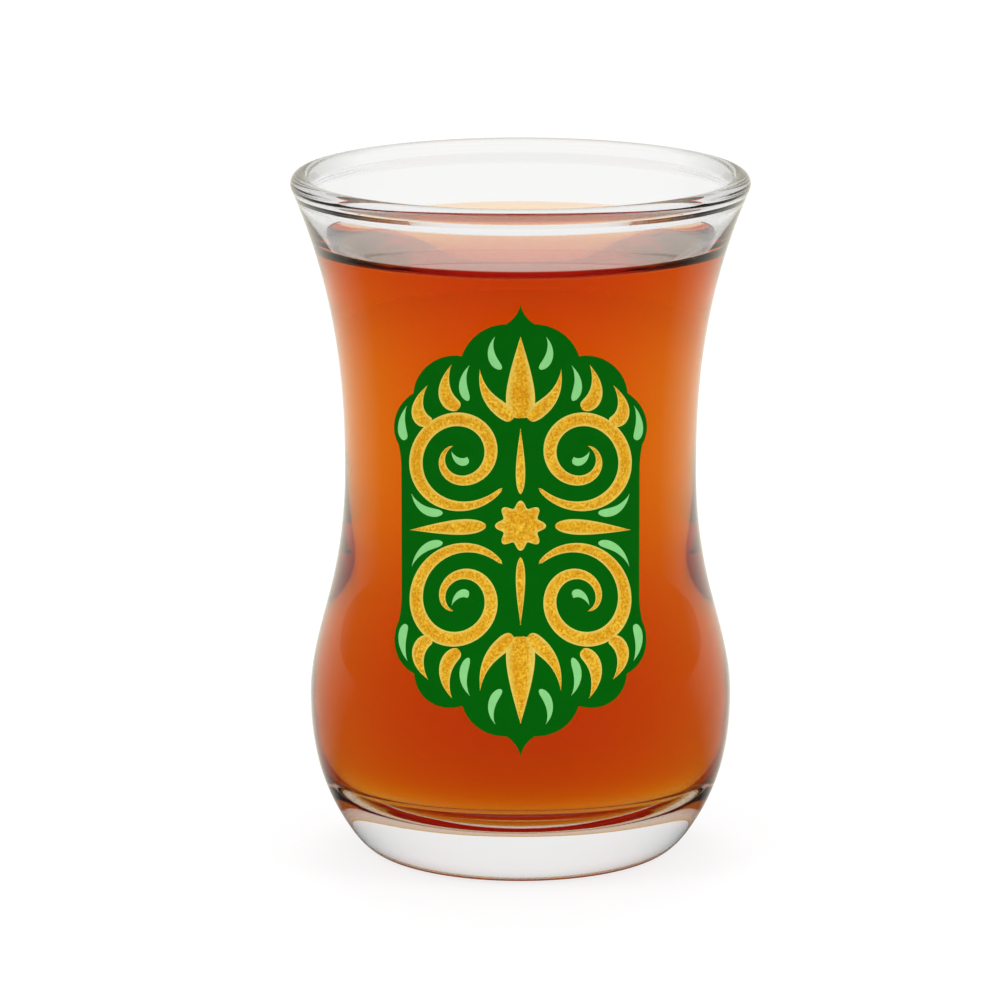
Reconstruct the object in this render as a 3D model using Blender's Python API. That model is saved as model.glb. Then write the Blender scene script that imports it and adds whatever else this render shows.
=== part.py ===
"""Waisted tea glass with a printed panel, filled with tea.

Metres, +Z up. The origin is at the centre of the foot, and the printed panel faces -Y.
"""
import math

import bmesh
import bpy
from mathutils import Vector
from mathutils.geometry import interpolate_bezier

MM = 0.001

# Outside of the glass, from the table up
HEIGHT = 90.0 * MM
FOOT_RADIUS = 18.8 * MM
FOOT_RING_WIDTH = 2.4 * MM
PUNT_DEPTH = 0.3 * MM
HEEL_HEIGHT = 2.9 * MM
HEEL_RADIUS = 22.6 * MM
HEEL_SLOPE = 0.70
BULB_HEIGHT = 20.7 * MM
BULB_RADIUS = 27.7 * MM
SHOULDER_HEIGHT = 35.0 * MM
SHOULDER_RADIUS = 24.9 * MM
SHOULDER_SLOPE = -0.25
WAIST_HEIGHT = 51.3 * MM
WAIST_RADIUS = 23.0 * MM
FLARE_POWER = 2.3
RIM_RADIUS = 29.9 * MM
LIP_THICKNESS = 2.58 * MM

# Inside of the glass: the wall thins upwards to a neck and swells again into the lip
WALL = 3.4 * MM
NECK_WALL = 1.33 * MM
NECK_HEIGHT = 24.3 * MM
LIP_SWELL = 1.3 * MM
BASE_THICKNESS = 7.2 * MM
BOWL_DEPTH = 8.5 * MM
BOWL_POWER = 2.6

# Tea
FILL_DROP = 9.55 * MM
MENISCUS_RISE = 1.41 * MM
MENISCUS_WIDTH = 3.7 * MM
TEA_CLEARANCE = 0.3 * MM

# Printed panel: its tips are set from the table and from the rim, its sides hang below its middle
PRINT_FOOT_MARGIN = 19.0 * MM
PRINT_RIM_MARGIN = 12.6 * MM
PRINT_HALF_WIDTH = 15.25 * MM
PRINT_BOW = 1.9 * MM
PRINT_GAP = 0.15 * MM
PRINT_THICKNESS = 0.15 * MM
PRINT_FACET = 2.6 * MM

# Half widths of the printed strokes
SCROLL_WIDTH = 0.92 * MM
LEAF_WIDTH = 1.0 * MM
CROWN_WIDTH = 1.85 * MM
STEM_WIDTH = 0.6 * MM
SPRIG_WIDTH = 0.55 * MM

# A lower skew moves the widest place of a stroke to its start, a fullness below 1 blunts its ends
STROKE_SKEW = 0.75
LEAF_FULLNESS = 1.0
SCROLL_FULLNESS = 0.6

# Flower at the middle of the panel
ROSETTE_RADIUS = 2.8 * MM
ROSETTE_LOBE = 0.45 * MM
ROSETTE_PETALS = 8

# The print is laid out on a grid of half its columns and rows, with 0, 0 at its middle
GRID_COLUMNS = 16
GRID_ROWS = 30

# Fineness of the facets
TURN_STEPS = 48
BODY_RINGS = 20
BOWL_RINGS = 8
HEEL_RINGS = 4
PUNT_RINGS = 3
LIP_RINGS = 6
MENISCUS_RINGS = 4
ARC_STEPS = 6
PETAL_STEPS = 6
LEAF_STEPS = 7
SCROLL_STEPS = 34
MERGE_DISTANCE = 0.001 * MM
SHARP_ANGLE = math.radians(40)

# What follows from the sizes above
LIP_RADIUS = LIP_THICKNESS / 2
FLARE_ANGLE = math.atan(FLARE_POWER * (RIM_RADIUS - WAIST_RADIUS) / (HEIGHT - WAIST_HEIGHT))
FLARE_TOP = HEIGHT - LIP_RADIUS * (1 + math.sin(FLARE_ANGLE))
FLARE_RADIUS = RIM_RADIUS - LIP_RADIUS * (1 - math.cos(FLARE_ANGLE))
LIP_WALL = LIP_THICKNESS / math.cos(FLARE_ANGLE)
NECK_TOP = FLARE_TOP - LIP_SWELL
TEA_LEVEL = HEIGHT - FILL_DROP
PRINT_HALF_HEIGHT = (HEIGHT - PRINT_RIM_MARGIN - PRINT_FOOT_MARGIN) / 2
PRINT_MIDDLE = PRINT_FOOT_MARGIN + PRINT_HALF_HEIGHT
MOTIF_LIFT = PRINT_GAP + PRINT_THICKNESS + PRINT_GAP

# Height, radius and slope of the outside where its curves meet
STATIONS = (
    (HEEL_HEIGHT, HEEL_RADIUS, HEEL_SLOPE),
    (BULB_HEIGHT, BULB_RADIUS, 0.0),
    (SHOULDER_HEIGHT, SHOULDER_RADIUS, SHOULDER_SLOPE),
    (WAIST_HEIGHT, WAIST_RADIUS, 0.0),
)

# Corners of the panel's upper right quarter on the grid, and how far each side bulges out
PANEL_TIP = (0.0, 30.0)
PANEL_SIDES = (
    ((1.9, 27.3), -0.35),
    ((7.8, 23.1), 1.2),
    ((14.3, 18.5), 1.9),
    ((16.35, 11.6), 1.5),
    ((16.0, 8.0), -0.1),
)

# Scroll in the upper right quarter: its eye on the grid, its reach from there, and its turns in degrees
SCROLL_EYE = (8.1, 9.5)
SCROLL_START_REACH = 7.2
SCROLL_END_REACH = 1.7
SCROLL_START_ANGLE = -142.0
SCROLL_SWEEP = 560.0

# Strokes of the upper right quarter, as the four points of a Bezier curve on the grid
QUARTER_STROKES = (
    ("gold_crown_petal", "gold", LEAF_WIDTH, ((1.2, 14.2), (2.6, 16.2), (5.2, 17.0), (5.4, 21.2))),
    ("gold_shoulder_leaf", "gold", LEAF_WIDTH, ((8.2, 16.0), (10.2, 17.4), (10.6, 19.6), (9.2, 22.0))),
    ("gold_corner_leaf", "gold", LEAF_WIDTH, ((12.2, 14.2), (13.8, 15.4), (14.2, 17.2), (12.4, 19.4))),
    ("pale_crown_sprig", "pale", SPRIG_WIDTH, ((2.5, 21.2), (3.9, 22.2), (4.3, 24.2), (3.4, 25.6))),
    ("pale_shoulder_sprig", "pale", SPRIG_WIDTH, ((6.9, 17.0), (7.9, 18.6), (7.8, 20.4), (6.8, 21.8))),
    ("pale_side_sprig", "pale", SPRIG_WIDTH, ((15.4, 12.2), (16.0, 13.4), (16.1, 15.2), (15.2, 16.8))),
    ("pale_corner_sprig", "pale", SPRIG_WIDTH, ((10.4, 2.0), (12.2, 2.0), (13.8, 2.8), (14.6, 4.8))),
    ("pale_eye_bud", "pale", SPRIG_WIDTH, ((7.0, 9.0), (7.8, 8.6), (8.8, 9.0), (9.2, 10.2))),
)

# Strokes on the upright axis and on the level axis
UPRIGHT_STROKES = (
    ("gold_crown_leaf", "gold", CROWN_WIDTH, ((0.0, 14.6), (0.0, 18.0), (0.0, 22.0), (0.0, 25.6))),
    ("gold_stem", "gold", STEM_WIDTH, ((0.0, 4.2), (0.0, 7.0), (0.0, 10.0), (0.0, 13.0))),
)
LEVEL_STROKES = (
    ("gold_side_leaf", "gold", LEAF_WIDTH, ((4.6, 0.0), (8.0, 0.0), (11.5, 0.0), (14.8, 0.0))),
)


def clear_scene():
    for item in list(bpy.data.objects):
        bpy.data.objects.remove(item, do_unlink=True)


def make_material(name, colour, roughness, metallic=0.0, transmission=0.0):
    material = bpy.data.materials.new(name)
    material.use_nodes = True
    shader = material.node_tree.nodes["Principled BSDF"]
    shader.inputs["Base Color"].default_value = (*colour, 1.0)
    shader.inputs["Roughness"].default_value = roughness
    shader.inputs["Metallic"].default_value = metallic
    shader.inputs["Transmission Weight"].default_value = transmission
    return material


def add_object(name, bm, material):
    """Turn a finished bmesh into a smooth shaded object of that name."""
    mesh = bpy.data.meshes.new(name)
    bm.to_mesh(mesh)
    bm.free()
    mesh.shade_smooth()
    mesh.set_sharp_from_angle(angle=SHARP_ANGLE)
    mesh.materials.append(material)
    item = bpy.data.objects.new(name, mesh)
    bpy.context.collection.objects.link(item)
    return item


def smoothstep(share):
    share = min(max(share, 0.0), 1.0)
    return share * share * (3 - 2 * share)


def hermite(z, low, high):
    """Radius at a height between two stations."""
    low_z, low_radius, low_slope = low
    high_z, high_radius, high_slope = high
    rise = high_z - low_z
    t = (z - low_z) / rise
    radius = low_radius + (high_radius - low_radius) * t * t * (3 - 2 * t)
    return radius + rise * t * (1 - t) * (low_slope * (1 - t) - high_slope * t)


def outer_radius(z):
    """Radius of the outside above the heel."""
    if z >= WAIST_HEIGHT:
        share = (z - WAIST_HEIGHT) / (FLARE_TOP - WAIST_HEIGHT)
        return WAIST_RADIUS + (FLARE_RADIUS - WAIST_RADIUS) * share ** FLARE_POWER
    for low, high in zip(STATIONS, STATIONS[1:]):
        if z <= high[0]:
            break
    return hermite(z, low, high)


def cavity_radius(z):
    """Radius of the inside above its rounded bottom, with a thin neck under the lip."""
    thinning = smoothstep((z - NECK_TOP + NECK_HEIGHT) / NECK_HEIGHT)
    swelling = min(max((z - NECK_TOP) / LIP_SWELL, 0.0), 1.0)
    wall = WALL + (NECK_WALL - WALL) * thinning
    return outer_radius(z) - wall - (LIP_WALL - wall) * swelling


def spread(low, high, count):
    """Even steps from low to high, with both ends."""
    return [low + (high - low) * step / count for step in range(count + 1)]


def cavity_profile(top):
    """Radius and height points of the inside, from the middle of its bottom up to a height."""
    points = []
    for angle in spread(0.0, math.pi / 2, BOWL_RINGS):
        z = BASE_THICKNESS + BOWL_DEPTH * (1 - math.cos(angle) ** (2 / BOWL_POWER))
        points.append((cavity_radius(z) * math.sin(angle) ** (2 / BOWL_POWER), z))
    for z in spread(BASE_THICKNESS + BOWL_DEPTH, top, BODY_RINGS)[1:]:
        points.append((cavity_radius(z), z))
    return points


def lip_profile():
    """Round lip from its inner side over to its outer side."""
    points = []
    for angle in spread(math.pi - FLARE_ANGLE, -FLARE_ANGLE, LIP_RINGS):
        radius = RIM_RADIUS - LIP_RADIUS + LIP_RADIUS * math.cos(angle)
        points.append((radius, HEIGHT - LIP_RADIUS + LIP_RADIUS * math.sin(angle)))
    return points


def foot_profile():
    """Heel, flat ring and hollow underside, from the heel's top to the middle."""
    corner = Vector((HEEL_RADIUS - HEEL_SLOPE * HEEL_HEIGHT, 0.0))
    top = Vector((HEEL_RADIUS, HEEL_HEIGHT))
    ring = Vector((FOOT_RADIUS, 0.0))
    points = []
    for t in spread(0.0, 1.0, HEEL_RINGS):
        points.append(top * (1 - t) ** 2 + corner * 2 * t * (1 - t) + ring * t * t)
    hollow = FOOT_RADIUS - FOOT_RING_WIDTH
    for share in spread(1.0, 0.0, PUNT_RINGS):
        points.append((hollow * share, PUNT_DEPTH * (1 - share * share)))
    return points


def turned_solid(name, profile, material):
    """Spin a profile whose two ends lie on the Z axis into a closed solid."""
    bm = bmesh.new()
    verts = [bm.verts.new((radius, 0.0, z)) for radius, z in profile]
    edges = [bm.edges.new(pair) for pair in zip(verts, verts[1:])]
    bmesh.ops.spin(bm, geom=verts + edges, axis=(0, 0, 1), steps=TURN_STEPS, angle=math.tau)
    bmesh.ops.remove_doubles(bm, verts=bm.verts, dist=MERGE_DISTANCE)
    bmesh.ops.recalc_face_normals(bm, faces=bm.faces)
    return add_object(name, bm, material)


def make_glass(material):
    outside = [(outer_radius(z), z) for z in spread(FLARE_TOP, HEEL_HEIGHT, BODY_RINGS)[1:-1]]
    inside = cavity_profile(NECK_TOP) + [(cavity_radius(FLARE_TOP), FLARE_TOP)]
    profile = inside + lip_profile() + outside + foot_profile()
    return turned_solid("glass_body", profile, material)


def make_tea(material):
    """Fill the inside up to the tea level, clear of the glass, with the edge drawn up the wall."""
    wet = cavity_profile(TEA_LEVEL + MENISCUS_RISE)
    profile = [(0.0, BASE_THICKNESS + TEA_CLEARANCE)]
    for before, here, after in zip(wet, wet[1:], wet[2:] + wet[-1:]):
        along = Vector((after[0] - before[0], after[1] - before[1])).normalized()
        profile.append((here[0] - TEA_CLEARANCE * along.y, here[1] + TEA_CLEARANCE * along.x))
    edge_radius, edge_height = profile[-1]
    for share in spread(0.0, 1.0, MENISCUS_RINGS)[1:]:
        height = TEA_LEVEL + (edge_height - TEA_LEVEL) * (1 - share) ** 2
        profile.append((edge_radius - MENISCUS_WIDTH * share, height))
    profile.append((0.0, TEA_LEVEL))
    return turned_solid("tea", profile, material)


def on_grid(point):
    """Flat place in metres of a point on the print's grid."""
    return Vector((point[0] * PRINT_HALF_WIDTH / GRID_COLUMNS, point[1] * PRINT_HALF_HEIGHT / GRID_ROWS))


def on_glass(flat, lift):
    """Place on the front of the glass, lifted off its surface, of a flat place on the print."""
    z = PRINT_MIDDLE + flat.y - PRINT_BOW * (flat.x / PRINT_HALF_WIDTH) ** 2
    radius = outer_radius(z) + lift
    return Vector((flat.x, -math.sqrt(radius * radius - flat.x * flat.x), z))


def film(name, bm, lift, material, holder):
    """Lay a flat mesh on the glass and thicken it outwards."""
    for vert in bm.verts:
        vert.co = on_glass(vert.co, lift) - holder.location
    bm.normal_update()
    if sum(face.normal.y for face in bm.faces) > 0:
        bmesh.ops.reverse_faces(bm, faces=bm.faces)
    item = add_object(name, bm, material)
    item.parent = holder
    thicken = item.modifiers.new("Thickness", "SOLIDIFY")
    thicken.thickness = PRINT_THICKNESS
    thicken.offset = 1.0
    return item


def arc(start, end, bulge):
    """Points of a circular arc after its start, bulging to the left of the way to its end by a sagitta."""
    chord = end - start
    half = chord.length / 2
    radius = (half * half + bulge * bulge) / (2 * bulge)
    left = Vector((-chord.y, chord.x)).normalized()
    centre = (start + end) / 2 + left * (bulge - radius)
    turn = -2 * math.asin(half / radius)
    points = []
    for share in spread(0.0, 1.0, ARC_STEPS)[1:]:
        angle = turn * share
        spoke = start - centre
        turned = Vector((
            spoke.x * math.cos(angle) - spoke.y * math.sin(angle),
            spoke.x * math.sin(angle) + spoke.y * math.cos(angle),
        ))
        points.append(centre + turned)
    return points


def panel_outline():
    """Lobed outline of the whole panel, one quarter mirrored into the other three."""
    quarter = [on_grid(PANEL_TIP)]
    for corner, bulge in PANEL_SIDES:
        quarter += arc(quarter[-1], on_grid(corner), bulge * PRINT_HALF_WIDTH / GRID_COLUMNS)
    lower = [Vector((point.x, -point.y)) for point in reversed(quarter)]
    right = quarter + lower
    left = [Vector((-point.x, point.y)) for point in reversed(right[1:-1])]
    return right + left


def make_panel(material, holder):
    """Green ground of the print, cut into facets that follow the round glass."""
    bm = bmesh.new()
    bm.faces.new([bm.verts.new((point.x, point.y, 0.0)) for point in panel_outline()])
    width = max(vert.co.x for vert in bm.verts)
    height = max(vert.co.y for vert in bm.verts)
    for reach, normal in ((width, Vector((1, 0, 0))), (height, Vector((0, 1, 0)))):
        cuts = math.ceil(2 * reach / PRINT_FACET)
        for place in spread(-reach, reach, cuts)[1:-1]:
            everything = bm.verts[:] + bm.edges[:] + bm.faces[:]
            bmesh.ops.bisect_plane(bm, geom=everything, plane_co=normal * place, plane_no=normal)
    bmesh.ops.remove_doubles(bm, verts=bm.verts, dist=MERGE_DISTANCE)
    return film("panel_ground", bm, PRINT_GAP, material, holder)


def stroke_mesh(line, half_width, fullness):
    """Flat pointed stroke along a line of points, widest before its middle."""
    bm = bmesh.new()
    rungs = [(bm.verts.new((line[0].x, line[0].y, 0.0)),)]
    last = len(line) - 1
    for step in range(1, last):
        along = (line[step + 1] - line[step - 1]).normalized()
        width = half_width * math.sin(math.pi * (step / last) ** STROKE_SKEW) ** fullness
        side = Vector((-along.y, along.x)) * width
        left = line[step] + side
        right = line[step] - side
        rungs.append((bm.verts.new((left.x, left.y, 0.0)), bm.verts.new((right.x, right.y, 0.0))))
    rungs.append((bm.verts.new((line[last].x, line[last].y, 0.0)),))
    for rung, above in zip(rungs, rungs[1:]):
        bm.faces.new((*rung, *reversed(above)))
    return bm


def mirrored(line, across, up):
    """Line with its x and y multiplied by 1 or -1."""
    return [Vector((point.x * across, point.y * up)) for point in line]


def bezier_line(points):
    """Line of points along a Bezier curve that is given on the grid."""
    corners = [on_grid(point).to_3d() for point in points]
    return [point.to_2d() for point in interpolate_bezier(*corners, LEAF_STEPS + 1)]


def scroll_line():
    """Spiral from the rosette out, over and in to its eye."""
    line = []
    for share in spread(0.0, 1.0, SCROLL_STEPS):
        angle = math.radians(SCROLL_START_ANGLE + SCROLL_SWEEP * share)
        reach = SCROLL_START_REACH + (SCROLL_END_REACH - SCROLL_START_REACH) * share
        line.append(on_grid((
            SCROLL_EYE[0] + reach * math.cos(angle),
            SCROLL_EYE[1] + reach * math.sin(angle),
        )))
    return line


def make_rosette(material, holder):
    """Lobed flower at the middle of the panel."""
    bm = bmesh.new()
    middle = bm.verts.new((0.0, 0.0, 0.0))
    rim = []
    for angle in spread(0.0, math.tau, PETAL_STEPS * ROSETTE_PETALS)[:-1]:
        reach = ROSETTE_RADIUS + ROSETTE_LOBE * math.cos(ROSETTE_PETALS * angle)
        rim.append(bm.verts.new((reach * math.cos(angle), reach * math.sin(angle), 0.0)))
    for here, after in zip(rim, rim[1:] + rim[:1]):
        bm.faces.new((middle, here, after))
    return film("gold_rosette", bm, MOTIF_LIFT, material, holder)


def make_strokes(inks, holder):
    """Scrolls, leaves and sprigs, mirrored about the panel's two axes."""
    def lay(name, ink, line, half_width, fullness=LEAF_FULLNESS):
        film(name, stroke_mesh(line, half_width, fullness), MOTIF_LIFT, inks[ink], holder)

    for up, level in ((1, "upper"), (-1, "lower")):
        for across, side in ((1, "right"), (-1, "left")):
            scroll = mirrored(scroll_line(), across, up)
            lay(f"gold_scroll_{level}_{side}", "gold", scroll, SCROLL_WIDTH, SCROLL_FULLNESS)
            for name, ink, half_width, points in QUARTER_STROKES:
                line = mirrored(bezier_line(points), across, up)
                lay(f"{name}_{level}_{side}", ink, line, half_width)
        for name, ink, half_width, points in UPRIGHT_STROKES:
            lay(f"{name}_{level}", ink, mirrored(bezier_line(points), 1, up), half_width)
    for across, side in ((1, "right"), (-1, "left")):
        for name, ink, half_width, points in LEVEL_STROKES:
            lay(f"{name}_{side}", ink, mirrored(bezier_line(points), across, 1), half_width)


def main():
    clear_scene()
    make_glass(make_material("clear_glass", (0.95, 0.96, 0.96), 0.02, transmission=1.0))
    make_tea(make_material("tea", (0.52, 0.06, 0.01), 0.03, transmission=0.6))

    holder = bpy.data.objects.new("print_holder", None)
    holder.location = on_glass(Vector((0.0, 0.0)), 0.0)
    bpy.context.collection.objects.link(holder)
    inks = {
        "gold": make_material("gold_print", (0.80, 0.40, 0.04), 0.35, metallic=0.8),
        "pale": make_material("pale_green_print", (0.23, 0.61, 0.21), 0.4),
    }
    make_panel(make_material("green_print", (0.002, 0.117, 0.004), 0.35), holder)
    make_rosette(inks["gold"], holder)
    make_strokes(inks, holder)


main()
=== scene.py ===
"""Waisted tea glass, filled with tea, with a lobed panel of green, gold and pale green print."""
import math

import bmesh
import bpy
from bpy.props import FloatProperty, FloatVectorProperty, IntProperty, PointerProperty
from mathutils import Euler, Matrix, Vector
from mathutils.geometry import interpolate_bezier


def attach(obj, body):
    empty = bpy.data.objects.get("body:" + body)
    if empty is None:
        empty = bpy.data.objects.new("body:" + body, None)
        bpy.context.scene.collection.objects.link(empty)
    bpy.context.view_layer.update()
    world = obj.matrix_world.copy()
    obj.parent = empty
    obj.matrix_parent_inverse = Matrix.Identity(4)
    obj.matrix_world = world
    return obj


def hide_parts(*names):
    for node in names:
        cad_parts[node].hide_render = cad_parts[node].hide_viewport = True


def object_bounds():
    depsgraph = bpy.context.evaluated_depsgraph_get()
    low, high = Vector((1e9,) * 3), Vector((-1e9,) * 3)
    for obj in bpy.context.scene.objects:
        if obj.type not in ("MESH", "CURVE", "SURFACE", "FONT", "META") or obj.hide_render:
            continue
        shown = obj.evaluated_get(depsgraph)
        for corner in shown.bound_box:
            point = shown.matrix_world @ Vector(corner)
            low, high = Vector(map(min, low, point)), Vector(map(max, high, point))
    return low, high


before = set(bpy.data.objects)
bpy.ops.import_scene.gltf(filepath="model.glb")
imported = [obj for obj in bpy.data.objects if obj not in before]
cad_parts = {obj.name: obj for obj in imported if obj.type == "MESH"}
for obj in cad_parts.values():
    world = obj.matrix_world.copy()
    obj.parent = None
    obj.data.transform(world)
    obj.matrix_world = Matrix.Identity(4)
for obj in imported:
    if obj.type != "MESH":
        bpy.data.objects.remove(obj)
CAD_LOW, CAD_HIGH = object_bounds()

bl_info = {
    "name": "Waisted Tea Glass",
    "version": (1, 0, 0),
    "blender": (4, 5, 0),
    "location": "View3D > Sidebar > Tea Glass",
    "description": "Turns a waisted tea glass, fills it with tea and lays its printed panel",
    "category": "Add Mesh",
}

MM = 0.001
BODY = "root"

# Fineness of the turned pieces
TURN_STEPS = 192
WALL_RINGS = 96
NECK_RINGS = 24
SWELL_RINGS = 24
BOWL_RINGS = 40
LIP_RINGS = 40
HEEL_RINGS = 14
RING_RINGS = 4
PUNT_RINGS = 14
MENISCUS_RINGS = 20
SEED_SIZE = 0.02 * MM
FLOOR_GAP = 0.05 * MM
MERGE_DISTANCE = 0.0005 * MM

# Fineness of the print
FLOWER_FACET = 0.5 * MM
SHEET_FACET = 1.0 * MM
ARC_STEPS = 14
LEAF_RUNGS = 26
SCROLL_RUNGS = 110
PETAL_STEPS = 14
ACROSS_CUTS = 3
EDGE_ANGLE = math.radians(40)

# Lamps round the glass: turn from the front to the right, and height, in degrees
LAMPS = (("lamp_left", -55.0, 40.0), ("lamp_right", 60.0, 35.0), ("lamp_back", 180.0, 60.0))

# Table and camera: sides of the round table, width of the sensor in millimetres, nearest place that is seen
FLOOR_SIDES = 96
SENSOR_WIDTH = 36.0
CLIP_START = 10 * MM

# How far back the mirrored studio starts to brighten and is bright, on the table and in the air
TABLE_BRIGHTENS = (0.15, 0.85)
AIR_BRIGHTENS = (0.4, 1.0)
WHITE = (1.0, 1.0, 1.0)

# Grain of the finishes: cells for each metre, and the share of the noise that shows
WIPE_SCALE = 160.0
WIPE_SHOWS = (0.45, 0.75)
WIPE_ROUGHNESS = 0.02
WAVE_SCALE = 55.0
WAVE_HEIGHT = 0.2 * MM
WAVE_STRENGTH = 0.12
ENAMEL_SCALE = 2600.0
ENAMEL_SHOWS = (0.3, 0.7)
ENAMEL_STRENGTH = 0.2
PATCH_SCALE = 420.0
PATCH_SHOWS = (0.35, 0.65)
SPECK_SCALE = 3000.0
SPECK_SHOWS = (0.38, 0.66)
SPECK_STRENGTH = 0.35
SPECK_ROUGHNESS = (0.5, 0.36)
INK_RELIEF = 0.02 * MM

# Painted shade on the edges of the glass: how far they turn away before it shows, and how high lip and heel
# reach
EDGE_TURNS = (0.35, 0.8)
LIP_ZONE = 0.8
HEEL_ZONE = 0.3

# Tea: how steep its open surface may be, how far up its edge it is cloudy, and the wet zone in bowl depths
OPEN_SLOPE = 0.3
CLOUDY_EDGE = 0.5
WET_ZONE = 1.3

# The print is laid out on a grid of half its columns and rows, with 0, 0 at its middle
GRID_COLUMNS = 16
GRID_ROWS = 30

# Corners of the panel's upper right quarter on the grid, and how far each side bulges out
PANEL_TIP = (0.0, 30.0)
PANEL_SIDES = (
    ((1.9, 27.3), -0.35),
    ((7.8, 23.1), 1.2),
    ((14.3, 18.5), 1.9),
    ((16.35, 11.6), 1.5),
    ((16.0, 8.0), -0.1),
)

# Scroll in the upper right quarter: its eye on the grid, its reach from there, and its turns in degrees
SCROLL_EYE = (8.1, 9.5)
SCROLL_START_REACH = 7.2
SCROLL_END_REACH = 1.7
SCROLL_START_ANGLE = -142.0
SCROLL_SWEEP = 560.0

# Strokes of the upper right quarter, as the four points of a Bezier curve on the grid
GOLD_LEAVES = (
    ("gold_crown_petal", ((1.2, 14.2), (2.6, 16.2), (5.2, 17.0), (5.4, 21.2))),
    ("gold_shoulder_leaf", ((8.2, 16.0), (10.2, 17.4), (10.6, 19.6), (9.2, 22.0))),
    ("gold_corner_leaf", ((12.2, 14.2), (13.8, 15.4), (14.2, 17.2), (12.4, 19.4))),
)
PALE_SPRIGS = (
    ("pale_crown_sprig", ((2.5, 21.2), (3.9, 22.2), (4.3, 24.2), (3.4, 25.6))),
    ("pale_shoulder_sprig", ((6.9, 17.0), (7.9, 18.6), (7.8, 20.4), (6.8, 21.8))),
    ("pale_side_sprig", ((15.4, 12.2), (16.0, 13.4), (16.1, 15.2), (15.2, 16.8))),
    ("pale_corner_sprig", ((10.4, 2.0), (12.2, 2.0), (13.8, 2.8), (14.6, 4.8))),
    ("pale_eye_bud", ((7.0, 9.0), (7.8, 8.6), (8.8, 9.0), (9.2, 10.2))),
)
CROWN_LEAF = ("gold_crown_leaf", ((0.0, 14.6), (0.0, 18.0), (0.0, 22.0), (0.0, 25.6)))
STEM = ("gold_stem", ((0.0, 4.2), (0.0, 7.0), (0.0, 10.0), (0.0, 13.0)))
SIDE_LEAF = ("gold_side_leaf", ((4.6, 0.0), (8.0, 0.0), (11.5, 0.0), (14.8, 0.0)))

# Where copies of a stroke go: ending of the name, and mirroring across and up
QUARTERS = (
    ("_upper_right", 1, 1),
    ("_upper_left", -1, 1),
    ("_lower_right", 1, -1),
    ("_lower_left", -1, -1),
)
UP_AND_DOWN = (("_upper", 1, 1), ("_lower", 1, -1))
BOTH_SIDES = (("_right", 1, 1), ("_left", -1, 1))


def length(name, description, default):
    return FloatProperty(name=name, description=description, default=default, min=0.0,
                         precision=5, unit="LENGTH")


def factor(name, description, default):
    return FloatProperty(name=name, description=description, default=default, min=0.0, max=1.0,
                         subtype="FACTOR")


def number(name, description, default):
    return FloatProperty(name=name, description=description, default=default, precision=3)


def colour(name, description, default):
    return FloatVectorProperty(name=name, description=description, default=default, size=3,
                               min=0.0, max=1.0, subtype="COLOR")


def smoothstep(share):
    share = min(max(share, 0.0), 1.0)
    return share * share * (3 - 2 * share)


def spread(low, high, count):
    """Even steps from low to high, with both ends."""
    return [low + (high - low) * step / count for step in range(count + 1)]


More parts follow.
